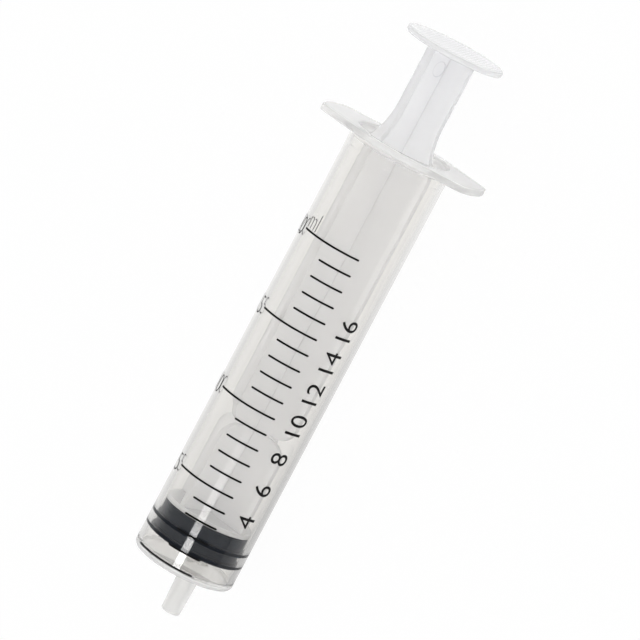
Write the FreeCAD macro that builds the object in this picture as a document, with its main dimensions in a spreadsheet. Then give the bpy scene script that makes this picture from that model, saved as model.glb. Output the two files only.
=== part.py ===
import FreeCAD, Part
import math
import os
import Sketcher
from FreeCAD import Placement, Rotation, Vector

# A 20 ml disposable syringe with an off-centre slip nozzle, lying on its side.
# X runs along the barrel from the nozzle to the thumb rest, Y along the finger
# flange, Z up. The origin is under the middle of the syringe, on the table.

doc = FreeCAD.newDocument("syringe")
sheet = doc.addObject("Spreadsheet::Sheet", "Dims")

# Millimetres and degrees.
DIMENSIONS = {
    # barrel
    "bore_dia": 19.0,
    "barrel_wall": 1.1,
    "floor_thickness": 1.45,
    "barrel_length": 94.4,
    "outer_corner_radius": 1.0,
    "inner_corner_radius": 0.3,
    "mouth_chamfer": 0.5,
    "bead_setback": 4.6,
    "bead_height": 0.2,
    "bead_width": 1.6,
    # finger flange
    "flange_length": 36.0,
    "flange_width": 21.8,
    "flange_thickness": 1.4,
    "flange_flat": 10.0,
    "flange_end_width": 12.6,
    "flange_end_bow": 1.3,
    "flange_shoulder_radius": 9.0,
    "flange_corner_radius": 2.6,
    "flange_edge_radius": 0.35,
    # slip nozzle, with a 6 per cent taper on its diameter
    "nozzle_offset": 6.0,
    "nozzle_length": 10.8,
    "nozzle_tip_dia": 3.95,
    "nozzle_taper": 0.06,
    "nozzle_edge_radius": 0.5,
    "nozzle_root_radius": 0.4,
    "nozzle_bore_dia": 1.8,
    # plunger rod
    "rod_length": 104.5,
    "rib_span": 18.0,
    "rib_thickness": 1.0,
    "neck_span": 12.0,
    "neck_length": 13.4,
    "flare_radius": 17.0,
    "flare_corner_radius": 2.5,
    "notch_distance": 20.3,
    "notch_slit": 0.6,
    "notch_core_span": 8.6,
    "notch_corner_radius": 3.7,
    "thumb_disc_dia": 20.6,
    "thumb_disc_thickness": 1.2,
    "thumb_edge_radius": 0.4,
    "base_disc_dia": 18.3,
    "base_disc_thickness": 1.0,
    "ejector_mark_dia": 3.2,
    "ejector_mark_depth": 0.08,
    "ejector_mark_setback": 5.0,
    "ejector_mark_offset": 2.3,
    "rod_turn": -17.0,
    # snap-in head of the rod
    "head_neck_dia": 7.6,
    "head_neck_length": 1.5,
    "head_dia": 10.6,
    "head_length": 2.3,
    "head_taper": 1.2,
    "head_clearance": 0.1,
    # rubber stopper
    "stopper_length": 6.56,
    "seal_clearance": 0.04,
    "seal_rib_width": 1.0,
    "seal_groove_width": 1.8,
    "seal_groove_depth": 0.6,
    "seal_edge_radius": 0.25,
    "land_depth": 0.45,
    # printed scale
    "scale_millilitres": 20,
    "millilitres_per_long_mark": 5,
    "rest_millilitres": 0.95,
    "ink_width": 0.42,
    "ink_thickness": 0.05,
    "ink_right_angle": 34.5,
    "ink_short_left_angle": 4.3,
    "ink_long_left_angle": 42.6,
}

for row, (alias, value) in enumerate(DIMENSIONS.items(), start=1):
    sheet.set(f"A{row}", alias)
    sheet.set(f"B{row}", str(value))
    sheet.setAlias(f"B{row}", alias)
doc.recompute()

# Sizes that several pieces share and that follow from the driving ones.
BORE_RADIUS = "(Dims.bore_dia / 2)"
BARREL_RADIUS = "(Dims.bore_dia / 2 + Dims.barrel_wall)"
MILLILITRE_PITCH = f"(1000 / (pi * {BORE_RADIUS} ^ 2))"
HEAD_DEPTH = "(Dims.head_neck_length + Dims.head_length)"

# Places along the axis, from the barrel's front face.
STOPPER_FRONT = f"(Dims.floor_thickness + Dims.rest_millilitres * {MILLILITRE_PITCH})"
ROD_BASE = f"({STOPPER_FRONT} + Dims.stopper_length + Dims.head_clearance)"
THUMB_END = f"({ROD_BASE} + Dims.rod_length)"
MIDDLE = f"(({THUMB_END} - Dims.nozzle_length) / 2)"
AXIS_HEIGHT = f"max(Dims.flange_width / 2; {BARREL_RADIUS}; Dims.thumb_disc_dia / 2)"


def size(formula):
    """The number that a formula of the sheet's names gives."""
    return float(sheet.evalExpression(formula))


def new_body(name, along, turn="0"):
    """A piece on the syringe's axis, its zero at a distance from the barrel's front face."""
    body = doc.addObject("PartDesign::Body", name)
    body.Label = name
    body.Placement = Placement(Vector(0, 0, 0), Rotation(Vector(1, 0, 0), 1))
    body.setExpression(".Placement.Rotation.Angle", turn)
    body.setExpression(".Placement.Base.x", f"{along} - {MIDDLE}")
    body.setExpression(".Placement.Base.z", AXIS_HEIGHT)
    return body


def new_sketch(body, name, role, shift=None):
    """A sketch on one of the body's origin planes, moved by (axis letter, formula)."""
    sketch = body.newObject("Sketcher::SketchObject", name)
    support = next(f for f in body.Origin.OriginFeatures if f.Role == role)
    sketch.AttachmentSupport = [(support, "")]
    sketch.MapMode = "FlatFace"
    if shift:
        letter, formula = shift
        sketch.setExpression(f".AttachmentOffset.Base.{letter}", formula)
    return sketch


def bind(sketch, name, formula, kind, *places):
    """A named constraint whose value is a formula."""
    index = sketch.addConstraint(Sketcher.Constraint(kind, *places, size(formula)))
    sketch.renameConstraint(index, name)
    sketch.setExpression(f"Constraints.{name}", formula)


def bulged_arc(start, end, radius, side):
    """The shorter arc between two points that bulges to the left or right of the way there.

    It is drawn anticlockwise, which is how a sketch numbers the ends of an arc.
    """
    chord = end - start
    rise = radius - math.sqrt(max(radius ** 2 - (chord.Length / 2) ** 2, 0))
    across = Vector(-chord.y, chord.x, 0).normalize() * rise
    middle = (start + end) * 0.5
    if side == "left":
        return Part.Arc(end, middle + across, start)
    return Part.Arc(start, middle - across, end)


def outline(sketch, corners, arcs=None):
    """Draws a closed outline through corners given as pairs of formulas.

    arcs maps the number of a side to its radius and the side that it bulges to.
    """
    arcs = arcs or {}
    points = [Vector(size(across), size(up), 0) for across, up in corners]
    ends = []
    for side, start in enumerate(points):
        end = points[(side + 1) % len(points)]
        if side in arcs:
            radius, bulge = arcs[side]
            index = sketch.addGeometry(bulged_arc(start, end, size(radius), bulge), False)
            drawn = sketch.Geometry[index].StartPoint
            forward = drawn.distanceToPoint(start) < drawn.distanceToPoint(end)
            ends.append((index, 1, 2) if forward else (index, 2, 1))
            bind(sketch, f"radius{side}", radius, "Radius", index)
        else:
            index = sketch.addGeometry(Part.LineSegment(start, end), False)
            ends.append((index, 1, 2))
    for corner, (index, first, last) in enumerate(ends):
        following, its_first, _ = ends[(corner + 1) % len(ends)]
        sketch.addConstraint(Sketcher.Constraint("Coincident", index, last, following, its_first))
        across, up = corners[corner]
        bind(sketch, f"across{corner}", across, "DistanceX", -1, 1, index, first)
        bind(sketch, f"up{corner}", up, "DistanceY", -1, 1, index, first)


def turned(body, kind, name, sketch):
    """A full Revolution or Groove of a sketch about its horizontal axis."""
    feature = body.newObject(f"PartDesign::{kind}", name)
    feature.Profile = sketch
    feature.ReferenceAxis = (sketch, ["H_Axis"])
    feature.Angle = 360
    doc.recompute()
    return feature


def cut_checked(body, volume_before):
    """Stops if the last cut took nothing away."""
    if body.Shape.Volume > volume_before - 1e-3:
        raise RuntimeError(f"the last cut in {body.Label} removed nothing")


def round_edges(body, name, radius, chosen):
    """A fillet of the edges of the body's tip that a test picks."""
    tip = body.Tip
    names = [f"Edge{i}" for i, edge in enumerate(tip.Shape.Edges, start=1) if chosen(edge)]
    feature = body.newObject("PartDesign::Fillet", name)
    feature.Base = (tip, names)
    feature.setExpression("Radius", radius)
    doc.recompute()
    return feature


def make_barrel():
    """The clear moulding: tube, floor, slip nozzle and finger flange in one."""
    body = new_body("barrel", "0")
    long_end = "(Dims.flange_length / 2 - Dims.flange_end_bow)"
    end_half = "(Dims.flange_end_width / 2)"
    flat_half = "(Dims.flange_flat / 2)"
    wide = "(Dims.flange_width / 2)"
    bow_radius = f"(({end_half} ^ 2 + Dims.flange_end_bow ^ 2) / (2 * Dims.flange_end_bow))"

    # The finger flange: two long flats, tapered shoulders and gently bowed ends.
    sketch = new_sketch(body, "FlangeOutline", "YZ_Plane",
                        ("z", "Dims.barrel_length - Dims.flange_thickness"))
    outline(sketch, [
        (long_end, f"-{end_half}"), (long_end, end_half),
        (flat_half, wide), (f"-{flat_half}", wide),
        (f"-{long_end}", end_half), (f"-{long_end}", f"-{end_half}"),
        (f"-{flat_half}", f"-{wide}"), (flat_half, f"-{wide}"),
    ], {0: (bow_radius, "right"), 4: (bow_radius, "right")})
    flange = body.newObject("PartDesign::Pad", "Flange")
    flange.Profile = sketch
    flange.setExpression("Length", "Dims.flange_thickness")
    doc.recompute()

    def upright_at(across):
        """Tests for an edge along the axis at a distance to either side of the middle."""
        def test(edge):
            ends = [vertex.Point for vertex in edge.Vertexes]
            along = abs(abs(ends[0].x - ends[-1].x) - size("Dims.flange_thickness")) < 1e-6
            return along and abs(abs(ends[0].y) - size(across)) < 1e-6
        return test

    round_edges(body, "FlangeCorners", "Dims.flange_corner_radius", upright_at(long_end))
    round_edges(body, "FlangeShoulders", "Dims.flange_shoulder_radius", upright_at(flat_half))
    round_edges(body, "FlangeRim", "Dims.flange_edge_radius",
                lambda edge: edge.BoundBox.XLength < 1e-6)

    # The tube's outside, with its rounded front corner.
    corner = "Dims.outer_corner_radius"
    sketch = new_sketch(body, "TubeOutline", "XZ_Plane")
    outline(sketch, [
        ("0", "0"), ("0", f"{BARREL_RADIUS} - {corner}"), (corner, BARREL_RADIUS),
        ("Dims.barrel_length", BARREL_RADIUS), ("Dims.barrel_length", "0"),
    ], {1: (corner, "left")})
    turned(body, "Revolution", "Tube", sketch)

    # The tapered nozzle, off the tube's centre and low, with a rounded tip.
    tip = "(Dims.nozzle_tip_dia / 2)"
    edge_radius = "Dims.nozzle_edge_radius"
    root_fillet = "Dims.nozzle_root_radius"
    root = f"({tip} + Dims.nozzle_length * Dims.nozzle_taper / 2)"
    sketch = new_sketch(body, "NozzleOutline", "XZ_Plane", ("y", "-Dims.nozzle_offset"))
    outline(sketch, [
        ("Dims.floor_thickness / 2", "0"),
        ("Dims.floor_thickness / 2", f"{root} + {root_fillet}"),
        ("0", f"{root} + {root_fillet}"),
        (f"-{root_fillet}", root),
        (f"{edge_radius} - Dims.nozzle_length", tip),
        ("-Dims.nozzle_length", f"{tip} - {edge_radius}"),
        ("-Dims.nozzle_length", "0"),
    ], {2: (root_fillet, "left"), 4: (edge_radius, "right")})
    turned(body, "Revolution", "Nozzle", sketch)

    # The bore: flat floor, retaining bead near the mouth and a chamfered mouth.
    volume = body.Shape.Volume
    inner_corner = "Dims.inner_corner_radius"
    half_bead = "(Dims.bead_width / 2)"
    bead_place = "(Dims.barrel_length - Dims.bead_setback)"
    bead_radius = f"(({half_bead} ^ 2 + Dims.bead_height ^ 2) / (2 * Dims.bead_height))"
    sketch = new_sketch(body, "BoreOutline", "XZ_Plane")
    outline(sketch, [
        ("Dims.floor_thickness", "0"),
        ("Dims.floor_thickness", f"{BORE_RADIUS} - {inner_corner}"),
        (f"Dims.floor_thickness + {inner_corner}", BORE_RADIUS),
        (f"{bead_place} - {half_bead}", BORE_RADIUS),
        (f"{bead_place} + {half_bead}", BORE_RADIUS),
        ("Dims.barrel_length - Dims.mouth_chamfer", BORE_RADIUS),
        ("Dims.barrel_length", f"{BORE_RADIUS} + Dims.mouth_chamfer"),
        ("Dims.barrel_length", "0"),
    ], {1: (inner_corner, "left"), 3: (bead_radius, "right")})
    turned(body, "Groove", "Bore", sketch)
    cut_checked(body, volume)

    # The nozzle's own bore, right through the floor.
    volume = body.Shape.Volume
    lumen = "(Dims.nozzle_bore_dia / 2)"
    sketch = new_sketch(body, "LumenOutline", "XZ_Plane", ("y", "-Dims.nozzle_offset"))
    outline(sketch, [
        ("-Dims.nozzle_length", "0"), ("-Dims.nozzle_length", lumen),
        ("Dims.floor_thickness", lumen), ("Dims.floor_thickness", "0"),
    ])
    turned(body, "Groove", "Lumen", sketch)
    cut_checked(body, volume)
    return body


def make_plunger_rod():
    """The milky moulding: four ribs between a thumb disc and a base disc with a snap-in head."""
    body = new_body("plunger_rod", ROD_BASE, "Dims.rod_turn")

    # Base disc, neck and tapered head, turned. The base disc's front face is the zero.
    head = "(Dims.head_dia / 2)"
    head_neck = "(Dims.head_neck_dia / 2)"
    base = "(Dims.base_disc_dia / 2)"
    sketch = new_sketch(body, "BaseOutline", "XZ_Plane")
    outline(sketch, [
        (f"-{HEAD_DEPTH}", "0"),
        (f"-{HEAD_DEPTH}", f"{head} - Dims.head_taper"),
        (f"Dims.head_taper - {HEAD_DEPTH}", head),
        ("-Dims.head_neck_length", head),
        ("-Dims.head_neck_length", head_neck),
        ("0", head_neck), ("0", base),
        ("Dims.base_disc_thickness", base), ("Dims.base_disc_thickness", "0"),
    ])
    turned(body, "Revolution", "BaseAndHead", sketch)

    # One rib: straight in the barrel, notched near the base, flared in to a narrow neck.
    wide = "(Dims.rib_span / 2)"
    neck = "(Dims.neck_span / 2)"
    core = "(Dims.notch_core_span / 2)"
    rounding = "Dims.notch_corner_radius"
    low = "(Dims.notch_distance - Dims.notch_slit / 2)"
    high = "(Dims.notch_distance + Dims.notch_slit / 2)"
    under_thumb = "(Dims.rod_length - Dims.thumb_disc_thickness)"
    neck_start = f"({under_thumb} - Dims.neck_length)"
    drop = f"({wide} - {neck})"
    flare_run = f"sqrt(2 * Dims.flare_radius * {drop} - {drop} ^ 2)"
    flare_start = f"({neck_start} - {flare_run})"
    sketch = new_sketch(body, "RibOutline", "XZ_Plane")
    outline(sketch, [
        ("Dims.base_disc_thickness / 2", "0"),
        ("Dims.base_disc_thickness / 2", wide),
        (f"{low} - {rounding}", wide), (low, f"{wide} - {rounding}"),
        (low, core), (high, core),
        (high, f"{wide} - {rounding}"), (f"{high} + {rounding}", wide),
        (flare_start, wide), (neck_start, neck),
        (f"{under_thumb} + Dims.thumb_disc_thickness / 2", neck),
        (f"{under_thumb} + Dims.thumb_disc_thickness / 2", "0"),
    ], {2: (rounding, "left"), 6: (rounding, "left"), 8: ("Dims.flare_radius", "right")})
    rib = body.newObject("PartDesign::Pad", "Rib")
    rib.Profile = sketch
    rib.Midplane = True
    rib.setExpression("Length", "Dims.rib_thickness")
    doc.recompute()
    ribs = body.newObject("PartDesign::PolarPattern", "Ribs")
    ribs.Originals = [rib]
    ribs.Axis = (sketch, ["H_Axis"])
    ribs.Angle = 360
    ribs.Occurrences = 4
    body.Tip = ribs
    doc.recompute()

    def at_flare(edge):
        """Tests for the short edges where the straight ribs turn in to the flare."""
        middle = edge.CenterOfMass
        off_axis = math.hypot(middle.y, middle.z)
        return abs(middle.x - size(flare_start)) < 1e-4 and abs(off_axis - size(wide)) < 1e-4

    round_edges(body, "FlareCorners", "Dims.flare_corner_radius", at_flare)

    # The thumb disc, with a rounded rim.
    disc = "(Dims.thumb_disc_dia / 2)"
    rim = "Dims.thumb_edge_radius"
    sketch = new_sketch(body, "ThumbOutline", "XZ_Plane")
    outline(sketch, [
        (under_thumb, "0"),
        (under_thumb, f"{disc} - {rim}"),
        (f"{under_thumb} + {rim}", disc),
        (f"Dims.rod_length - {rim}", disc),
        ("Dims.rod_length", f"{disc} - {rim}"),
        ("Dims.rod_length", "0"),
    ], {1: (rim, "left"), 3: (rim, "left")})
    turned(body, "Revolution", "ThumbDisc", sketch)

    # The round mark that a mould's ejector pin leaves on the neck's flank.
    volume = body.Shape.Volume
    sketch = new_sketch(body, "EjectorMark", "XZ_Plane", ("z", "Dims.rib_thickness / 2"))
    mark = sketch.addGeometry(Part.Circle(Vector(0, 0, 0), Vector(0, 0, 1), 1), False)
    bind(sketch, "radius", "Dims.ejector_mark_dia / 2", "Radius", mark)
    bind(sketch, "along", "Dims.rod_length - Dims.ejector_mark_setback", "DistanceX",
         -1, 1, mark, 3)
    bind(sketch, "out", "Dims.ejector_mark_offset", "DistanceY", -1, 1, mark, 3)
    pocket = body.newObject("PartDesign::Pocket", "EjectorPocket")
    pocket.Profile = sketch
    pocket.setExpression("Length", "Dims.ejector_mark_depth")
    doc.recompute()
    cut_checked(body, volume)
    return body


def make_stopper():
    """The rubber stopper: two sealing ribs in front, a plain land behind, hollow for the head."""
    body = new_body("stopper", STOPPER_FRONT)
    seal = f"({BORE_RADIUS} - Dims.seal_clearance)"
    groove = f"({BORE_RADIUS} - Dims.seal_groove_depth)"
    land = f"({BORE_RADIUS} - Dims.land_depth)"
    edge = "Dims.seal_edge_radius"
    front_edge = "(Dims.inner_corner_radius + Dims.seal_clearance)"
    first_end = "Dims.seal_rib_width"
    second = "(Dims.seal_rib_width + Dims.seal_groove_width)"
    second_end = "(2 * Dims.seal_rib_width + Dims.seal_groove_width)"
    rear = "Dims.stopper_length"
    play = "Dims.head_clearance"
    throat = f"(Dims.head_neck_dia / 2 + {play})"
    hollow = f"(Dims.head_dia / 2 + {play})"
    hollow_floor = f"({rear} - {HEAD_DEPTH})"
    lip = f"({rear} - Dims.head_neck_length + 2 * {play})"
    sketch = new_sketch(body, "StopperOutline", "XZ_Plane")
    outline(sketch, [
        ("0", "0"),
        ("0", f"{seal} - {front_edge}"), (front_edge, seal),
        (f"{first_end} - {edge}", seal), (first_end, f"{seal} - {edge}"),
        (first_end, groove), (second, groove),
        (second, f"{seal} - {edge}"), (f"{second} + {edge}", seal),
        (f"{second_end} - {edge}", seal), (second_end, f"{seal} - {edge}"),
        (second_end, land), (rear, land),
        (rear, throat), (lip, throat),
        (lip, hollow), (f"{hollow_floor} + Dims.head_taper", hollow),
        (hollow_floor, f"{hollow} - Dims.head_taper"), (hollow_floor, "0"),
    ], {1: (front_edge, "left"), 3: (edge, "left"), 7: (edge, "left"), 9: (edge, "left")})
    turned(body, "Revolution", "Rubber", sketch)
    return body


def make_scale_marks():
    """The printed graduation: one thin curved bar of ink at each millilitre."""
    body = new_body("scale_marks", "0")
    outer = f"({BARREL_RADIUS} + Dims.ink_thickness)"
    start = "(Dims.floor_thickness - Dims.ink_width / 2)"
    end = "(Dims.floor_thickness + Dims.ink_width / 2)"
    long_steps = "(Dims.scale_millilitres / Dims.millilitres_per_long_mark)"
    for name, right, left, steps in (
        ("Short", "Dims.ink_right_angle", "Dims.ink_short_left_angle", "Dims.scale_millilitres"),
        ("Long", "0", "Dims.ink_long_left_angle", long_steps),
    ):
        sketch = new_sketch(body, f"{name}Section", "XZ_Plane")
        outline(sketch, [(start, BARREL_RADIUS), (end, BARREL_RADIUS),
                         (end, outer), (start, outer)])
        bar = body.newObject("PartDesign::Revolution", f"{name}Mark")
        bar.Profile = sketch
        bar.ReferenceAxis = (sketch, ["H_Axis"])
        bar.Type = "TwoAngles"
        bar.setExpression("Angle", right)
        bar.setExpression("Angle2", left)
        doc.recompute()
        marks = body.newObject("PartDesign::LinearPattern", f"{name}Marks")
        marks.Originals = [bar]
        marks.Direction = (sketch, ["H_Axis"])
        marks.setExpression("Length", f"Dims.scale_millilitres * {MILLILITRE_PITCH}")
        marks.setExpression("Occurrences", f"{steps} + 1")
        body.Tip = marks
        doc.recompute()
    return body


pieces = [make_barrel(), make_plunger_rod(), make_stopper(), make_scale_marks()]
doc.recompute()

for item in doc.Objects:
    if "Invalid" in item.State or "Error" in item.State:
        raise RuntimeError(f"{item.Label} failed: {item.State}")
for piece in pieces:
    if piece.Shape.isNull() or not piece.Shape.isValid():
        raise RuntimeError(f"{piece.Label} has no valid shape")

os.makedirs("parts", exist_ok=True)
for piece in pieces:
    piece.Shape.exportStep(f"parts/{piece.Label}.step")
    box = piece.Shape.BoundBox
    print(f"{piece.Label}: {len(piece.Shape.Solids)} solids, {piece.Shape.Volume:.1f} mm3, "
          f"X {box.XMin:.2f}..{box.XMax:.2f} Y {box.YMin:.2f}..{box.YMax:.2f} "
          f"Z {box.ZMin:.2f}..{box.ZMax:.2f}")
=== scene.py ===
import math
import bpy
from mathutils import Matrix, Vector


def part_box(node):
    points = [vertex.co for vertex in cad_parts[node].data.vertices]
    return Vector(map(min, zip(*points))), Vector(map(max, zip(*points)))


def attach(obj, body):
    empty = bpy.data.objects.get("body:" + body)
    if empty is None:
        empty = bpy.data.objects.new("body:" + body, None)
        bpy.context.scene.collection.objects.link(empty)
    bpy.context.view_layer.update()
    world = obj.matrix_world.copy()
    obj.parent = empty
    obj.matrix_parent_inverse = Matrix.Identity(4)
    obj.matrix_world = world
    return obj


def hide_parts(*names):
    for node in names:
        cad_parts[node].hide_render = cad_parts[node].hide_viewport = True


# A 20 ml disposable syringe lying on its side: clear barrel, milky plunger rod, dark rubber
# stopper and black printed scale. X runs from the nozzle to the thumb disc, Z is up, metres.
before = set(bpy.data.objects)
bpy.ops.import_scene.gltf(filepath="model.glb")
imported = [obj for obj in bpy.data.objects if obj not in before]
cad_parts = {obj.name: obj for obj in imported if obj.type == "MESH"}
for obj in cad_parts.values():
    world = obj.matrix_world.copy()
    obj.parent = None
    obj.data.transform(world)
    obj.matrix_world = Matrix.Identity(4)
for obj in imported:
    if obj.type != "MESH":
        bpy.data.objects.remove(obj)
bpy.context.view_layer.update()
mm = 0.001


# Barrel. One clear polypropylene moulding: tube, flat floor, finger flange, off-centre slip
# nozzle and the small bead inside the mouth that keeps the stopper in. It is turned and cut
# here as one wall, so that light bends through it as it does through the real one.
barrel_low, barrel_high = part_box("barrel")
nozzle_length = 10.8 * mm
front_x = barrel_low.x + nozzle_length
back_x = barrel_high.x
axis_z = (barrel_low.z + barrel_high.z) / 2
bore_radius = 9.5 * mm
barrel_radius = 10.6 * mm
floor_thickness = 1.45 * mm
flange_thickness = 1.4 * mm


def arc(centre, radius, start, end, steps):
    """Points of an arc in a section, as (along, out) pairs, from one angle to another in degrees."""
    turns = [math.radians(start + (end - start) * i / steps) for i in range(steps + 1)]
    return [(centre[0] + radius * math.cos(t), centre[1] + radius * math.sin(t)) for t in turns]


def turned(name, section, height, steps):
    """A solid of revolution: draws a section from (along, out) points and spins it about X."""
    bpy.ops.object.select_all(action="DESELECT")
    bpy.ops.mesh.primitive_plane_add(size=mm)
    piece = bpy.context.object
    piece.name = name
    bpy.ops.object.mode_set(mode="EDIT")
    bpy.ops.mesh.select_all(action="SELECT")
    bpy.ops.mesh.merge(type="CENTER")
    bpy.ops.transform.translate(value=(section[0][0], 0, height + section[0][1]))
    for before, after in zip(section, section[1:]):
        step = (after[0] - before[0], 0, after[1] - before[1])
        bpy.ops.mesh.extrude_region_move(TRANSFORM_OT_translate={"value": step})
    bpy.ops.mesh.select_all(action="SELECT")
    bpy.ops.mesh.spin(steps=steps, angle=math.tau, center=(0, 0, height), axis=(1, 0, 0),
                      use_auto_merge=True)
    bpy.ops.mesh.select_all(action="SELECT")
    bpy.ops.mesh.remove_doubles(threshold=0.002 * mm)
    bpy.ops.mesh.normals_make_consistent(inside=False)
    bpy.ops.object.mode_set(mode="OBJECT")
    return piece


def joined(piece, other, operation):
    """Fuses another solid with a piece, or cuts it out of the piece, and removes the other."""
    modifier = piece.modifiers.new("join", "BOOLEAN")
    modifier.operation = operation
    modifier.solver = "EXACT"
    modifier.object = other
    bpy.context.view_layer.objects.active = piece
    bpy.ops.object.modifier_apply(modifier=modifier.name)
    bpy.data.objects.remove(other)


def smoothed(piece, angle=35):
    """Shades a piece smooth across its rounded edges, and keeps its flats flat."""
    bpy.ops.object.select_all(action="DESELECT")
    piece.select_set(True)
    bpy.context.view_layer.objects.active = piece
    bpy.ops.object.shade_smooth_by_angle(angle=math.radians(angle))
    modifier = piece.modifiers.new("flats", "WEIGHTED_NORMAL")
    modifier.keep_sharp = True
    bpy.ops.object.modifier_apply(modifier=modifier.name)


corner = 1.0 * mm
flange_under_x = back_x - flange_thickness
tube_section = (
    [(front_x, 0), (front_x, 4 * mm), (front_x, barrel_radius - corner - 0.1 * mm)]
    + arc((front_x + corner, barrel_radius - corner), corner, 180, 90, 10)
    + [(front_x + corner + 0.2 * mm, barrel_radius)]
    + [(back_x - flange_thickness / 2, barrel_radius), (back_x - flange_thickness / 2, 0)]
)
barrel = turned("barrel_moulding", tube_section, axis_z, 192)

# The flange: two straight edges, tapered shoulders and bowed ends, with rounded rims.
flange_half_length = 17.98 * mm
flange_half_width = 10.9 * mm
flange_end_half = 6.3 * mm
flange_end_bow = 1.3 * mm
flange_flat_half = 5.0 * mm
end_bow_radius = (flange_end_half ** 2 + flange_end_bow ** 2) / (2 * flange_end_bow)
bow_angle = math.degrees(math.asin(flange_end_half / end_bow_radius))
flange_end = arc((flange_half_length - end_bow_radius, 0), end_bow_radius, -bow_angle, bow_angle, 16)
flange_quarter = flange_end + [(flange_flat_half, flange_half_width)]
flange_outline = flange_quarter + [(-across, -up) for across, up in flange_quarter]
flange_outline.insert(len(flange_quarter), (-flange_flat_half, flange_half_width))
flange_outline.append((flange_flat_half, -flange_half_width))


def drawn_outline(name, points):
    """A flat face whose outline runs through a list of points."""
    bpy.ops.object.select_all(action="DESELECT")
    bpy.ops.mesh.primitive_plane_add(size=mm)
    piece = bpy.context.object
    piece.name = name
    bpy.ops.object.mode_set(mode="EDIT")
    bpy.ops.mesh.select_all(action="SELECT")
    bpy.ops.mesh.merge(type="CENTER")
    bpy.ops.transform.translate(value=points[0])
    for before, after in zip(points, points[1:]):
        bpy.ops.mesh.extrude_region_move(
            TRANSFORM_OT_translate={"value": Vector(after) - Vector(before)})
    bpy.ops.mesh.select_all(action="SELECT")
    bpy.ops.mesh.edge_face_add()
    bpy.ops.object.mode_set(mode="OBJECT")
    return piece


def vertices_chosen(piece, test):
    """Selects the vertices of a piece that pass a test of their place, in edit mode."""
    bpy.ops.object.mode_set(mode="EDIT")
    bpy.ops.mesh.select_mode(type="VERT")
    bpy.ops.mesh.select_all(action="DESELECT")
    bpy.ops.object.mode_set(mode="OBJECT")
    for vertex in piece.data.vertices:
        vertex.select = test(vertex.co)
    bpy.ops.object.mode_set(mode="EDIT")


def near(a, b):
    return abs(a - b) < 0.01 * mm


flange = drawn_outline("flange", [(flange_under_x, across, axis_z + up) for across, up in flange_outline])
end_corner = (flange_half_length - flange_end_bow, flange_end_half)
vertices_chosen(flange, lambda co: near(abs(co.y), flange_flat_half)
                and near(abs(co.z - axis_z), flange_half_width))
bpy.ops.mesh.bevel(offset_type="OFFSET", offset=1.7 * mm, segments=8, affect="VERTICES")
bpy.ops.object.mode_set(mode="OBJECT")
vertices_chosen(flange, lambda co: near(abs(co.y), end_corner[0])
                and near(abs(co.z - axis_z), end_corner[1]))
bpy.ops.mesh.bevel(offset_type="OFFSET", offset=1.6 * mm, segments=10, affect="VERTICES")
bpy.ops.mesh.select_all(action="SELECT")
bpy.ops.mesh.remove_doubles(threshold=0.01 * mm)
bpy.ops.mesh.extrude_region_move(TRANSFORM_OT_translate={"value": (flange_thickness, 0, 0)})
bpy.ops.mesh.select_all(action="SELECT")
bpy.ops.mesh.normals_make_consistent(inside=False)
bpy.ops.object.mode_set(mode="OBJECT")
rims = flange.modifiers.new("rims", "BEVEL")
rims.width = 0.35 * mm
rims.segments = 5
rims.limit_method = "ANGLE"
rims.angle_limit = math.radians(60)
bpy.ops.object.modifier_apply(modifier=rims.name)
joined(barrel, flange, "UNION")

# The slip nozzle: 6 per cent taper, rounded tip and a small fillet where it leaves the floor.
nozzle_z = axis_z - 6.0 * mm
tip_radius = 3.95 / 2 * mm
root_radius = tip_radius + nozzle_length * 0.03
tip_edge = 0.5 * mm
root_fillet = 0.4 * mm
tip_x = front_x - nozzle_length
nozzle_section = (
    [(front_x + 0.7 * mm, 0), (front_x + 0.7 * mm, root_radius + root_fillet),
     (front_x + 0.02 * mm, root_radius + root_fillet)]
    + arc((front_x - root_fillet, root_radius + root_fillet), root_fillet, 0, -90, 6)
    + arc((tip_x + tip_edge, tip_radius - tip_edge), tip_edge, 90, 180, 8)
    + [(tip_x, 0)]
)
nozzle = turned("nozzle", nozzle_section, nozzle_z, 96)
joined(barrel, nozzle, "UNION")

# The bore, with its retaining bead and chamfered mouth, and the nozzle's own bore.
inner_corner = 0.3 * mm
bead_x = back_x - 4.6 * mm
bead_half = 0.8 * mm
bead_height = 0.08 * mm
bead_arc_radius = (bead_half ** 2 + bead_height ** 2) / (2 * bead_height)
bead_angle = math.degrees(math.asin(bead_half / bead_arc_radius))
mouth_chamfer = 0.5 * mm
overrun = 0.5 * mm
inner_floor_x = front_x + floor_thickness
bore_section = (
    [(inner_floor_x, 0), (inner_floor_x, bore_radius - inner_corner - 0.1 * mm)]
    + arc((inner_floor_x + inner_corner, bore_radius - inner_corner), inner_corner, 180, 90, 6)
    + [(inner_floor_x + 1 * mm, bore_radius)]
    + arc((bead_x, bore_radius - bead_height + bead_arc_radius), bead_arc_radius,
          -90 - bead_angle, -90 + bead_angle, 8)
    + [(back_x - mouth_chamfer, bore_radius), (back_x + overrun, bore_radius + mouth_chamfer + overrun),
       (back_x + overrun, 0)]
)
joined(barrel, turned("bore", bore_section, axis_z, 192), "DIFFERENCE")
lumen_radius = 0.9 * mm
lumen_section = [(tip_x - overrun, 0), (tip_x - overrun, lumen_radius),
                 (inner_floor_x + overrun, lumen_radius), (inner_floor_x + overrun, 0)]
joined(barrel, turned("lumen", lumen_section, nozzle_z, 48), "DIFFERENCE")
smoothed(barrel)
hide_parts("barrel")
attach(barrel, "barrel")


def linear(code):
    """An sRGB hex colour as linear red, green, blue and full alpha."""
    parts = [int(code[i:i + 2], 16) / 255 for i in (1, 3, 5)]
    return [p / 12.92 if p <= 0.04045 else ((p + 0.055) / 1.055) ** 2.4 for p in parts] + [1.0]


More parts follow.
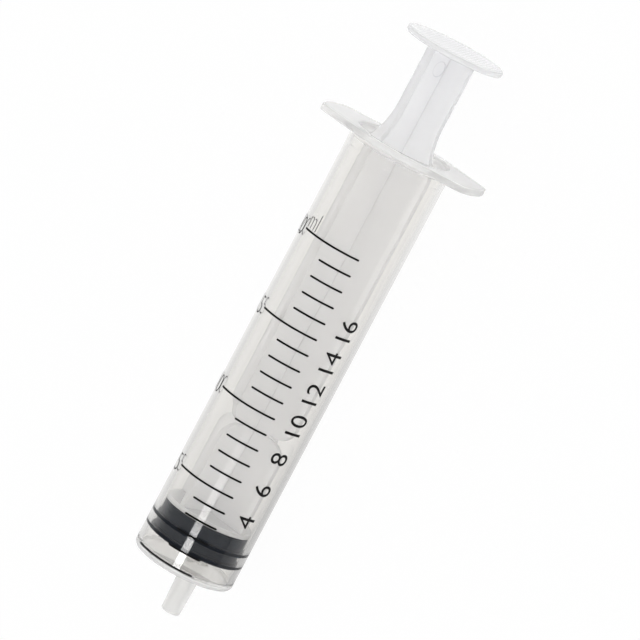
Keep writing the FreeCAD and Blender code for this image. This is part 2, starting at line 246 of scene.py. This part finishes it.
def add_node(material, kind, settings, links=None):
    """Adds a shader node, sets its properties and sockets, and links sockets from other nodes."""
    tree = material.node_tree
    made = tree.nodes.new(kind)
    for name, value in settings.items():
        if isinstance(name, int) or name in made.inputs:
            made.inputs[name].default_value = value
        else:
            setattr(made, name, value)
    for name, source in (links or {}).items():
        tree.links.new(source, made.inputs[name])
    return made


def new_material(name):
    """An empty node material with its output node."""
    material = bpy.data.materials.new(name)
    material.use_nodes = True
    material.node_tree.nodes.clear()
    return material, material.node_tree.nodes.new("ShaderNodeOutputMaterial")


# Clear polypropylene, injection moulded against a polished tool: glossy and see-through, with
# slow flow ripples that make its gloss waver a little. Where it is thick, at the flange, the
# nozzle and the front corner, it cools slowly and comes out matt and a little milky.
clear, output = new_material("clear_polypropylene")
place = add_node(clear, "ShaderNodeTexCoord", {}).outputs["Object"]
ripples_per_metre = (90, 400, 400)
stretch = add_node(clear, "ShaderNodeMapping", {"Scale": ripples_per_metre}, {"Vector": place})
ripple = add_node(clear, "ShaderNodeTexNoise", {"Scale": 1.0, "Detail": 2.0, "Roughness": 0.5},
                  {"Vector": stretch.outputs["Vector"]})
haze = add_node(clear, "ShaderNodeMapRange", {"To Min": 0.015, "To Max": 0.035},
                {"Value": ripple.outputs["Fac"]})
station = add_node(clear, "ShaderNodeSeparateXYZ", {}, {"Vector": place}).outputs["X"]
most_matt = 0.1
rim_matt = 0.08
frost = add_node(clear, "ShaderNodeMapRange",
                 {"From Min": flange_under_x - 1 * mm, "From Max": flange_under_x,
                  "To Min": 0.0, "To Max": most_matt}, {"Value": station})
dull = add_node(clear, "ShaderNodeMapRange",
                {"From Min": front_x - 0.8 * mm, "From Max": front_x + 0.3 * mm,
                 "To Min": most_matt, "To Max": 0.0},
                {"Value": station})
from_floor = add_node(clear, "ShaderNodeVectorMath",
                      {"operation": "DISTANCE", 1: (front_x + 0.7 * mm, 0, axis_z)}, {0: place})
corner_ring = add_node(clear, "ShaderNodeMapRange",
                       {"From Min": 9.3 * mm, "From Max": 9.8 * mm, "To Min": 0.0, "To Max": rim_matt},
                       {"Value": from_floor.outputs["Value"]})
low_end = add_node(clear, "ShaderNodeMapRange",
                   {"From Min": front_x + 0.9 * mm, "From Max": front_x + 1.5 * mm,
                    "To Min": 1.0, "To Max": 0.0}, {"Value": station})
rim = add_node(clear, "ShaderNodeMath", {"operation": "MULTIPLY"},
               {0: corner_ring.outputs["Result"], 1: low_end.outputs["Result"]})
front = add_node(clear, "ShaderNodeMath", {"operation": "MAXIMUM"},
                 {0: dull.outputs["Result"], 1: rim.outputs["Value"]})
matt_ends = add_node(clear, "ShaderNodeMath", {"operation": "ADD"},
                     {0: frost.outputs["Result"], 1: front.outputs["Value"]})
roughness = add_node(clear, "ShaderNodeMath", {"operation": "ADD"},
                     {0: haze.outputs["Result"], 1: matt_ends.outputs["Value"]})
tint = add_node(clear, "ShaderNodeMix",
                {"data_type": "RGBA", "A": linear("#F6F5F3"), "B": linear("#FBFAF8")},
                {"Factor": ripple.outputs["Fac"]})
see_through = add_node(clear, "ShaderNodeMapRange", {"From Max": most_matt, "To Min": 1.0, "To Max": 0.5},
                       {"Value": matt_ends.outputs["Value"]})
plastic = add_node(clear, "ShaderNodeBsdfPrincipled",
                   {"IOR": 1.49, "Subsurface Weight": 1.0, "Subsurface Scale": 1 * mm,
                    "Subsurface Radius": (1, 1, 1)},
                   {"Base Color": tint.outputs["Result"], "Roughness": roughness.outputs["Value"],
                    "Transmission Weight": see_through.outputs["Result"]})
clear.node_tree.links.new(plastic.outputs["BSDF"], output.inputs["Surface"])
barrel.data.materials.clear()
barrel.data.materials.append(clear)

# Clear plastic lets the light through, so it throws no shadow of its own.
barrel.visible_shadow = False


# Plunger rod. One moulding in natural polypropylene: four crossed ribs between the thumb disc
# and the base disc, with a narrow neck, a flare and a notch, and a head inside the stopper.
rod_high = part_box("plunger_rod")[1]
rod_length = 104.5 * mm
rod_x = rod_high.x - rod_length
rib_half = 9.0 * mm
rib_thickness = 1.0 * mm
neck_half = 6.0 * mm
neck_length = 13.4 * mm
flare_radius = 17.0 * mm
thumb_thickness = 1.2 * mm
thumb_radius = 10.3 * mm
base_radius = 9.15 * mm
base_thickness = 1.0 * mm
notch_x = rod_x + 20.3 * mm
notch_slit = 0.6 * mm
notch_core = 4.3 * mm
notch_round = 3.7 * mm
under_thumb_x = rod_high.x - thumb_thickness
neck_x = under_thumb_x - neck_length
flare_angle = math.degrees(math.acos(1 - (rib_half - neck_half) / flare_radius))
low_x = notch_x - notch_slit / 2
high_x = notch_x + notch_slit / 2
flare = arc((neck_x, neck_half + flare_radius), flare_radius, -90 - flare_angle, -90, 24)
shoulder = 1.2 * mm
slope = math.radians(flare_angle)
flare_start = flare[0]
softened = [(flare_start[0] - shoulder * (1 - t) ** 2 + shoulder * t ** 2 * math.cos(slope),
             flare_start[1] - shoulder * t ** 2 * math.sin(slope))
            for t in (i / 8 for i in range(9))]
flare = [point for point in flare if point[0] > softened[-1][0] + 0.1 * mm]
half_rib = (
    [(rod_x + base_thickness / 2, rib_half)]
    + arc((low_x - notch_round, rib_half - notch_round), notch_round, 90, 0, 12)
    + [(low_x, notch_core), (high_x, notch_core)]
    + arc((high_x + notch_round, rib_half - notch_round), notch_round, 180, 90, 12)
    + softened + flare
    + [(under_thumb_x + thumb_thickness / 2, neck_half)]
)
rib_outline = half_rib + [(along, -out) for along, out in reversed(half_rib)]


def rib_plate(name):
    """One full-width plate of the cross, its moulded edges slightly rounded."""
    plate = drawn_outline(name, [(along, -rib_thickness / 2, axis_z + out) for along, out in rib_outline])
    bpy.ops.object.mode_set(mode="EDIT")
    bpy.ops.mesh.select_all(action="SELECT")
    bpy.ops.mesh.extrude_region_move(TRANSFORM_OT_translate={"value": (0, rib_thickness, 0)})
    bpy.ops.mesh.select_all(action="SELECT")
    bpy.ops.mesh.normals_make_consistent(inside=False)
    bpy.ops.object.mode_set(mode="OBJECT")
    edges = plate.modifiers.new("edges", "BEVEL")
    edges.width = 0.12 * mm
    edges.segments = 3
    edges.limit_method = "ANGLE"
    edges.angle_limit = math.radians(60)
    bpy.ops.object.modifier_apply(modifier=edges.name)
    return plate


def about_axis(degrees):
    """A turn about the syringe's long axis."""
    to_axis = Matrix.Translation((0, 0, axis_z))
    return to_axis @ Matrix.Rotation(math.radians(degrees), 4, "X") @ to_axis.inverted()


rod = rib_plate("plunger_moulding")
cross = rib_plate("cross_plate")
cross.data.transform(about_axis(90))
joined(rod, cross, "UNION")

thumb_edge = 0.4 * mm
thumb_section = (
    [(under_thumb_x, 0), (under_thumb_x, 8 * mm)]
    + arc((under_thumb_x + thumb_edge, thumb_radius - thumb_edge), thumb_edge, 180, 90, 6)
    + arc((rod_high.x - thumb_edge, thumb_radius - thumb_edge), thumb_edge, 90, 0, 6)
    + [(rod_high.x, 8 * mm), (rod_high.x, 0)]
)
joined(rod, turned("thumb_disc", thumb_section, axis_z, 144), "UNION")

head_neck_radius = 3.8 * mm
head_radius = 5.3 * mm
head_neck_length = 1.5 * mm
head_length = 2.3 * mm
head_taper = 1.2 * mm
head_front_x = rod_x - head_neck_length - head_length
base_edge = 0.15 * mm
base_section = (
    [(head_front_x, 0), (head_front_x, head_radius - head_taper),
     (head_front_x + head_taper, head_radius), (rod_x - head_neck_length, head_radius),
     (rod_x - head_neck_length, head_neck_radius), (rod_x, head_neck_radius)]
    + arc((rod_x + base_edge, base_radius - base_edge), base_edge, 180, 90, 4)
    + arc((rod_x + base_thickness - base_edge, base_radius - base_edge), base_edge, 90, 0, 4)
    + [(rod_x + base_thickness, 0)]
)
joined(rod, turned("base_disc", base_section, axis_z, 144), "UNION")

# The shallow round mark that the mould's ejector pin leaves on one flank of the neck.
mark_depth = 0.08 * mm
mark_radius = 1.6 * mm
mark_centre = Vector((rod_high.x - 5.0 * mm, -rib_thickness / 2 + mark_depth, axis_z + 2.3 * mm))
bpy.ops.mesh.primitive_cylinder_add(
    vertices=48, radius=mark_radius, depth=1 * mm,
    location=mark_centre - Vector((0, 0.5 * mm, 0)), rotation=(math.pi / 2, 0, 0))
joined(rod, bpy.context.object, "DIFFERENCE")
rod_turn = about_axis(-17)
rod.data.transform(rod_turn)
smoothed(rod)
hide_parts("plunger_rod")
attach(rod, "rod")

# Natural polypropylene, moulded: lets light through but blurs it, with a satin skin and a faint
# cloudiness from the crystals in the plastic. The mould leaves a fine cross-hatch on the thumb
# disc, and a thin grey ring of painted shade darkens the rim of the ejector mark.
milky, output = new_material("milky_polypropylene")
place = add_node(milky, "ShaderNodeTexCoord", {}).outputs["Object"]
cloud = add_node(milky, "ShaderNodeTexNoise", {"Scale": 260.0, "Detail": 3.0}, {"Vector": place})
tint = add_node(milky, "ShaderNodeMix",
                {"data_type": "RGBA", "A": linear("#FAFAFC"), "B": linear("#FEFEFF")},
                {"Factor": cloud.outputs["Fac"]})
satin = add_node(milky, "ShaderNodeMapRange", {"To Min": 0.05, "To Max": 0.09},
                 {"Value": cloud.outputs["Fac"]})
hatch_pitch = 0.9 * mm
rim_shade_width = 0.16 * mm
hatching = {"wave_type": "BANDS", "wave_profile": "SIN", "Scale": math.pi / (10 * hatch_pitch)}
rows = add_node(milky, "ShaderNodeTexWave", {**hatching, "bands_direction": "Y"}, {"Vector": place})
columns = add_node(milky, "ShaderNodeTexWave", {**hatching, "bands_direction": "Z"}, {"Vector": place})
hatch = add_node(milky, "ShaderNodeMath", {"operation": "MAXIMUM"},
                 {0: rows.outputs["Fac"], 1: columns.outputs["Fac"]})
rod_station = add_node(milky, "ShaderNodeSeparateXYZ", {}, {"Vector": place}).outputs["X"]
on_top = add_node(milky, "ShaderNodeMath", {"operation": "GREATER_THAN", 1: rod_high.x - 0.05 * mm},
                  {0: rod_station})
ground = add_node(milky, "ShaderNodeMath", {"operation": "MULTIPLY"},
                  {0: hatch.outputs["Value"], 1: on_top.outputs["Value"]})
grain_bump = add_node(milky, "ShaderNodeBump", {"Strength": 0.08, "Distance": 0.0001},
                      {"Height": cloud.outputs["Fac"]})
bump = add_node(milky, "ShaderNodeBump", {"Strength": 0.35, "Distance": 0.1 * mm},
                {"Height": ground.outputs["Value"], "Normal": grain_bump.outputs["Normal"]})
# Painted shade: a thin grey ring round the rim of the ejector mark, in place of the fine shadow line at its
# edge.
from_mark = add_node(milky, "ShaderNodeVectorMath", {"operation": "DISTANCE", 1: rod_turn @ mark_centre},
                     {0: place})
off_line = add_node(milky, "ShaderNodeMath", {"operation": "SUBTRACT", 1: mark_radius},
                    {0: from_mark.outputs["Value"]})
rim_shade_gap = add_node(milky, "ShaderNodeMath", {"operation": "ABSOLUTE"}, {0: off_line.outputs["Value"]})
rim_shade = add_node(milky, "ShaderNodeMapRange", {"From Max": rim_shade_width, "To Min": 0.35, "To Max": 0.0},
                {"Value": rim_shade_gap.outputs["Value"]})
tint = add_node(milky, "ShaderNodeMix", {"data_type": "RGBA", "B": linear("#B4B7C2")},
                {"Factor": rim_shade.outputs["Result"], "A": tint.outputs["Result"]})
plastic = add_node(milky, "ShaderNodeBsdfPrincipled",
                   {"IOR": 1.49, "Transmission Weight": 0.38, "Subsurface Weight": 1.0,
                    "Subsurface Radius": (1.0, 1.0, 1.0), "Subsurface Scale": 2 * mm},
                   {"Base Color": tint.outputs["Result"], "Roughness": satin.outputs["Result"],
                    "Normal": bump.outputs["Normal"]})
milky.node_tree.links.new(plastic.outputs["BSDF"], output.inputs["Surface"])
rod.data.materials.clear()
rod.data.materials.append(milky)


# Stopper. Moulded blue-grey rubber: two sealing ribs in front, a plain land behind, and a hollow
# that the rod's head snaps into. Only its own squeeze against the bore holds it.
stopper_low, stopper_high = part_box("stopper")
stopper_x = stopper_low.x
stopper_back_x = stopper_high.x
seal_radius = bore_radius + 0.015 * mm
groove_radius = bore_radius - 0.6 * mm
land_radius = bore_radius - 0.45 * mm
seal_width = 1.0 * mm
groove_width = 1.8 * mm
play = 0.1 * mm


def rubber_rib(start_x, front_edge, back_edge):
    """The section of one sealing rib, with rounded edges."""
    return (
        arc((start_x + front_edge, seal_radius - front_edge), front_edge, 180, 90, 6)
        + arc((start_x + seal_width - back_edge, seal_radius - back_edge), back_edge, 90, 0, 6)
    )


second_x = stopper_x + seal_width + groove_width
throat_x = stopper_back_x - head_neck_length + 2 * play
hollow_x = stopper_back_x - head_neck_length - head_length
stopper_section = (
    [(stopper_x, 0)]
    + rubber_rib(stopper_x, 0.34 * mm, 0.25 * mm)
    + [(stopper_x + seal_width, groove_radius), (second_x, groove_radius)]
    + rubber_rib(second_x, 0.25 * mm, 0.25 * mm)
    + [(second_x + seal_width, land_radius)]
    + arc((stopper_back_x - 0.2 * mm, land_radius - 0.2 * mm), 0.2 * mm, 90, 0, 5)
    + [(stopper_back_x, head_neck_radius + play), (throat_x, head_neck_radius + play),
       (throat_x, head_radius + play), (hollow_x + head_taper, head_radius + play),
       (hollow_x, head_radius + play - head_taper), (hollow_x, 0)]
)
stopper = turned("rubber_stopper", stopper_section, axis_z, 160)
smoothed(stopper)
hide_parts("stopper")
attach(stopper, "stopper")

# Moulded rubber, wetted by the wall that it presses on: dark slate with little gloss of its own
# and a fine uneven skin.
rubber, output = new_material("stopper_rubber")
place = add_node(rubber, "ShaderNodeTexCoord", {}).outputs["Object"]
grain = add_node(rubber, "ShaderNodeTexNoise", {"Scale": 2500.0, "Detail": 4.0}, {"Vector": place})
tint = add_node(rubber, "ShaderNodeMix",
                {"data_type": "RGBA", "A": linear("#12171F"), "B": linear("#1B222D")},
                {"Factor": grain.outputs["Fac"]})
satin = add_node(rubber, "ShaderNodeMapRange", {"To Min": 0.3, "To Max": 0.42},
                 {"Value": grain.outputs["Fac"]})
bump = add_node(rubber, "ShaderNodeBump", {"Strength": 0.1, "Distance": 0.00005},
                {"Height": grain.outputs["Fac"]})
skin = add_node(rubber, "ShaderNodeBsdfPrincipled", {"IOR": 1.5, "Specular IOR Level": 0.15},
                {"Base Color": tint.outputs["Result"], "Roughness": satin.outputs["Result"],
                 "Normal": bump.outputs["Normal"]})
rubber.node_tree.links.new(skin.outputs["BSDF"], output.inputs["Surface"])
stopper.data.materials.clear()
stopper.data.materials.append(rubber)


# Printed scale. Black ink pad-printed on the barrel: a bar at each millilitre, longer at every
# fifth, with its figure. It is drawn flat, as on the pad, and then wrapped round the barrel.
ink_width = 0.42 * mm
ink_thickness = 0.03 * mm
millilitre = 1e-6 / (math.pi * bore_radius ** 2)
right_end = -math.radians(34.5) * barrel_radius
short_end = math.radians(4.3) * barrel_radius
long_end = math.radians(42.6) * barrel_radius


def flat_bar(along, across_low, across_high):
    """One round-ended bar of ink on the flat pad."""
    bpy.ops.object.select_all(action="DESELECT")
    bpy.ops.mesh.primitive_plane_add(size=1, location=(along, (across_low + across_high) / 2, 0))
    bar = bpy.context.object
    bar.scale = (ink_width, across_high - across_low, 1)
    bpy.ops.object.transform_apply(location=True, rotation=False, scale=True)
    bpy.ops.object.mode_set(mode="EDIT")
    bpy.ops.mesh.bevel(offset_type="OFFSET", offset=ink_width * 0.48, segments=4, affect="VERTICES")
    bpy.ops.object.mode_set(mode="OBJECT")
    return bar


def wrapped(name, shapes):
    """Joins flat shapes, cuts them into narrow strips, wraps them round the barrel and thickens them."""
    bpy.ops.object.select_all(action="DESELECT")
    for shape in shapes:
        shape.select_set(True)
    bpy.context.view_layer.objects.active = shapes[0]
    if len(shapes) > 1:
        bpy.ops.object.join()
    piece = bpy.context.object
    piece.name = name
    low = min(vertex.co.y for vertex in piece.data.vertices)
    high = max(vertex.co.y for vertex in piece.data.vertices)
    bpy.ops.object.mode_set(mode="EDIT")
    strip = 0.3 * mm
    for i in range(1, int((high - low) / strip) + 1):
        bpy.ops.mesh.select_all(action="SELECT")
        bpy.ops.mesh.bisect(plane_co=(0, low + i * strip, 0), plane_no=(0, 1, 0))
    bpy.ops.mesh.select_all(action="SELECT")
    bpy.ops.mesh.remove_doubles(threshold=0.0005 * mm)
    bpy.ops.object.mode_set(mode="OBJECT")
    for vertex in piece.data.vertices:
        angle = vertex.co.y / barrel_radius
        vertex.co = (vertex.co.x, barrel_radius * math.sin(angle),
                     axis_z + barrel_radius * math.cos(angle))
    thick = piece.modifiers.new("ink", "SOLIDIFY")
    thick.thickness = ink_thickness
    thick.offset = 1
    bpy.ops.object.modifier_apply(modifier=thick.name)
    piece.location = (0, 0, 0)
    return piece


zero_x = inner_floor_x
bars = [flat_bar(zero_x + count * millilitre, right_end, short_end if count % 5 else long_end)
        for count in range(21)]
printed_marks = wrapped("printed_marks", bars)
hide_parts("scale_marks")


cap_share = 0.72


def flat_text(words, along, across, turn, height, side, narrowing=1.0, thinning=0.0):
    """Figures or letters of ink on the flat pad, as a mesh of its own."""
    bpy.ops.object.select_all(action="DESELECT")
    bpy.ops.object.text_add(location=(along, across, 0), rotation=(0, 0, turn))
    text = bpy.context.object
    text.data.body = words
    text.data.size = height / cap_share
    text.data.align_x = side
    text.data.offset = -thinning
    bpy.ops.object.convert(target="MESH")
    text = bpy.context.object
    text.scale = (narrowing, 1, 1)
    bpy.ops.object.transform_apply(location=True, rotation=True, scale=True)
    return text


# The figures stand at the left ends of the long bars, their tops towards the flange, and the
# unit stands on the last bar.
figure_height = 4.05 * mm
figure_end = math.radians(46) * barrel_radius
thinner = 0.12 * mm
figures = [flat_text(str(count), zero_x + count * millilitre - figure_height / 2, figure_end,
                     -math.pi / 2, figure_height, "RIGHT", 1.0, thinner)
           for count in (5, 10, 15, 20)]
figures.append(flat_text("ml", zero_x + 20 * millilitre + 0.3 * mm, long_end, -math.pi / 2,
                         figure_height, "LEFT", 0.65, thinner))
printed_figures = wrapped("printed_figures", figures)

# Black solvent ink, pad printed: dense and slightly glossy, thin enough to follow the plastic.
ink, output = new_material("printing_ink")
place = add_node(ink, "ShaderNodeTexCoord", {}).outputs["Object"]
speck = add_node(ink, "ShaderNodeTexNoise", {"Scale": 6000.0, "Detail": 2.0}, {"Vector": place})
tint = add_node(ink, "ShaderNodeMix",
                {"data_type": "RGBA", "A": linear("#060607"), "B": linear("#101012")},
                {"Factor": speck.outputs["Fac"]})
film = add_node(ink, "ShaderNodeBsdfPrincipled", {"Roughness": 0.5, "IOR": 1.45, "Specular IOR Level": 0.3},
                {"Base Color": tint.outputs["Result"]})
ink.node_tree.links.new(film.outputs["BSDF"], output.inputs["Surface"])

# Beside the scale, a column of plain figures for every second millilitre, which reads along the
# barrel with the tops of the figures towards the marks.
side_height = 4.1 * mm
side_base = -math.radians(72) * barrel_radius
side_figures = [flat_text(str(count), zero_x + count * millilitre, side_base, 0, side_height, "CENTER")
                for count in range(4, 18, 2)]
side_column = wrapped("printed_side_figures", side_figures)

for print_piece in (printed_marks, printed_figures, side_column):
    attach(print_piece, "barrel")
    print_piece.data.materials.clear()
    print_piece.data.materials.append(ink)


# Table: a wide white sheet that the syringe lies on. It shows as white and keeps a soft shadow.
bpy.ops.mesh.primitive_plane_add(size=4, location=(0, 0, -0.02 * mm))
table = bpy.context.object
table.name = "table"
paper, output = new_material("white_table")
seen = add_node(paper, "ShaderNodeLightPath", {}).outputs
either = add_node(paper, "ShaderNodeMath", {"operation": "MAXIMUM"},
                  {0: seen["Is Camera Ray"], 1: seen["Is Glossy Ray"]})
any_ray = add_node(paper, "ShaderNodeMath", {"operation": "MAXIMUM"},
                   {0: either.outputs["Value"], 1: seen["Is Transmission Ray"]})
share = add_node(paper, "ShaderNodeMath", {"operation": "MULTIPLY", 1: 0.95},
                 {0: any_ray.outputs["Value"]})
matt = add_node(paper, "ShaderNodeBsdfDiffuse", {"Color": linear("#F2F2F2")})

# Painted shade: gloss and clear plastic see the sheet's glow a little darker towards the nozzle and off to
# the sides.
place = add_node(paper, "ShaderNodeTexCoord", {}).outputs["Object"]
spot = add_node(paper, "ShaderNodeSeparateXYZ", {}, {"Vector": place}).outputs
rise = add_node(paper, "ShaderNodeMapRange", {"From Min": -70 * mm, "From Max": 70 * mm,
                                              "To Min": 0.83, "To Max": 1.03}, {"Value": spot["X"]})
deep = add_node(paper, "ShaderNodeMapRange", {"From Min": -55 * mm, "From Max": 32 * mm,
                                              "To Min": -0.42, "To Max": -0.13}, {"Value": spot["X"]})
near_side = add_node(paper, "ShaderNodeMapRange", {"interpolation_type": "SMOOTHSTEP",
                                                   "From Min": -12 * mm, "From Max": -4 * mm,
                                                   "To Min": 1.0, "To Max": 0.0}, {"Value": spot["Y"]})
far_side = add_node(paper, "ShaderNodeMapRange", {"interpolation_type": "SMOOTHSTEP",
                                                  "From Min": 16 * mm, "From Max": 32 * mm,
                                                  "To Min": 1.0, "To Max": 0.82}, {"Value": spot["Y"]})
fall = add_node(paper, "ShaderNodeMath", {"operation": "MULTIPLY_ADD", 2: 1.0},
                {0: deep.outputs["Result"], 1: near_side.outputs["Result"]})
sides = add_node(paper, "ShaderNodeMath", {"operation": "MULTIPLY"},
                 {0: fall.outputs["Value"], 1: far_side.outputs["Result"]})
panel = add_node(paper, "ShaderNodeMath", {"operation": "MULTIPLY"},
                 {0: rise.outputs["Result"], 1: sides.outputs["Value"]})
strength = add_node(paper, "ShaderNodeMix", {"B": 1.0},
                    {"Factor": seen["Is Camera Ray"], "A": panel.outputs["Value"]})
glow = add_node(paper, "ShaderNodeEmission", {"Color": linear("#FFFFFF")},
                {"Strength": strength.outputs["Result"]})
blend = add_node(paper, "ShaderNodeMixShader", {},
                 {"Fac": share.outputs["Value"], 1: matt.outputs["BSDF"], 2: glow.outputs["Emission"]})
paper.node_tree.links.new(blend.outputs["Shader"], output.inputs["Surface"])
table.data.materials.append(paper)

# Light: an even white room. Gloss and clear plastic also see its dark side, where the camera
# stands, and one soft window in it that draws the pale line up the lower end of the barrel.
lean = math.radians(20)
toward_camera = Vector((0, -math.sin(lean), math.cos(lean)))
to_right = Vector((0, -math.cos(lean), -math.sin(lean)))
along = Vector((1, 0, 0))
room = bpy.data.worlds.new("room")
bpy.context.scene.world = room
room.use_nodes = True
room.node_tree.nodes.clear()
facing = add_node(room, "ShaderNodeTexCoord", {}).outputs["Generated"]


def share_of(direction):
    """How far the way looked at in the room points in a direction, from -1 to 1."""
    return add_node(room, "ShaderNodeVectorMath", {"operation": "DOT_PRODUCT", 1: direction},
                    {0: facing}).outputs["Value"]


def ramp(value, start, end, low, high):
    """A soft step of a value in the room."""
    return add_node(room, "ShaderNodeMapRange",
                    {"interpolation_type": "SMOOTHSTEP", "From Min": start, "From Max": end,
                     "To Min": low, "To Max": high}, {"Value": value}).outputs["Result"]


def combined(operation, first, second):
    """Two values, or a value and a number, put together."""
    if isinstance(second, float):
        sum_node = add_node(room, "ShaderNodeMath", {"operation": operation, 1: second}, {0: first})
    else:
        sum_node = add_node(room, "ShaderNodeMath", {"operation": operation}, {0: first, 1: second})
    return sum_node.outputs["Value"]


# The dark side shows black in a reflection and grey through the plastic, which blurs it, and
# light that has wandered far in the plastic is even.
window_aside = 0.172
window_strength = 9.6
seen = add_node(room, "ShaderNodeLightPath", {}).outputs
darkest = add_node(room, "ShaderNodeMath", {"operation": "MULTIPLY_ADD", 1: 0.5, 2: 0.08},
                   {0: seen["Is Transmission Ray"]}).outputs["Value"]
walls = add_node(room, "ShaderNodeMapRange", {"interpolation_type": "SMOOTHSTEP", "From Min": -0.5,
                                              "From Max": 0.2, "To Min": 1.0},
                 {"Value": share_of(toward_camera), "To Max": darkest}).outputs["Result"]
beside = combined("ABSOLUTE", combined("SUBTRACT", share_of(-to_right), window_aside), 0.0)
length = share_of(along)
fading = combined("ADD", ramp(length, -0.2315, -0.2215, 0.72, 0.0),
                  ramp(length, -0.232, -0.2, 0.28, 0.0))
height = combined("MULTIPLY", fading, ramp(length, -0.3, -0.26, 0.0, 1.0))
window = combined("MULTIPLY", ramp(beside, 0.11, 0.17, window_strength, 0.0), height)
window = combined("MULTIPLY", window, combined("GREATER_THAN", share_of(toward_camera), 0.0))
blurred = ramp(seen["Ray Depth"], 3.0, 6.0, 0.0, 1.0)
picture = add_node(room, "ShaderNodeMix", {"B": 1.0},
                   {"Factor": blurred, "A": combined("ADD", walls, window)})
mirrored = combined("MAXIMUM", seen["Is Glossy Ray"], seen["Is Transmission Ray"])
sharp = combined("MULTIPLY", mirrored, combined("LESS_THAN", seen["Diffuse Depth"], 0.5))
level = add_node(room, "ShaderNodeMix", {"A": 1.05}, {"Factor": sharp, "B": picture.outputs["Result"]})
air = add_node(room, "ShaderNodeBackground", {"Color": linear("#FFFFFF")},
               {"Strength": level.outputs["Result"]})
sky = room.node_tree.nodes.new("ShaderNodeOutputWorld")
room.node_tree.links.new(air.outputs["Background"], sky.inputs["Surface"])

# Camera: the photograph's view, from about a metre away with a long lens, looking down on the
# syringe from 20 degrees round its side and 10.6 degrees towards the thumb disc.
focal_pixels = 5280
frame_pixels = 640
distance = 1027.6 * mm
lift = math.radians(10.554)
centre_x = front_x + 56.31 * mm
centre_offset = 1.31 * mm
picture_angle = math.radians(27.9)
view = bpy.data.cameras.new("camera")
view.sensor_width = 36
view.lens = focal_pixels / frame_pixels * view.sensor_width
view.clip_end = 10
camera = bpy.data.objects.new("camera", view)
bpy.context.scene.collection.objects.link(camera)
bpy.context.scene.camera = camera
back = toward_camera * math.cos(lift) + along * math.sin(lift)
up_barrel = along * math.cos(lift) - toward_camera * math.sin(lift)
right = up_barrel * math.sin(picture_angle) + to_right * math.cos(picture_angle)
up = up_barrel * math.cos(picture_angle) - to_right * math.sin(picture_angle)
aim = Vector((centre_x, 0, axis_z)) + to_right * centre_offset
camera.matrix_world = Matrix.Translation(aim + back * distance) @ Matrix(
    (right, up, back)).transposed().to_4x4()

bpy.context.scene.view_settings.view_transform = "Standard"

# Light runs far inside clear plastic before it comes out, so its paths are long and kept sharp.
cycles = bpy.context.scene.cycles
cycles.max_bounces = 32
cycles.transmission_bounces = 32
cycles.glossy_bounces = 32
cycles.diffuse_bounces = 8
cycles.blur_glossy = 0.0
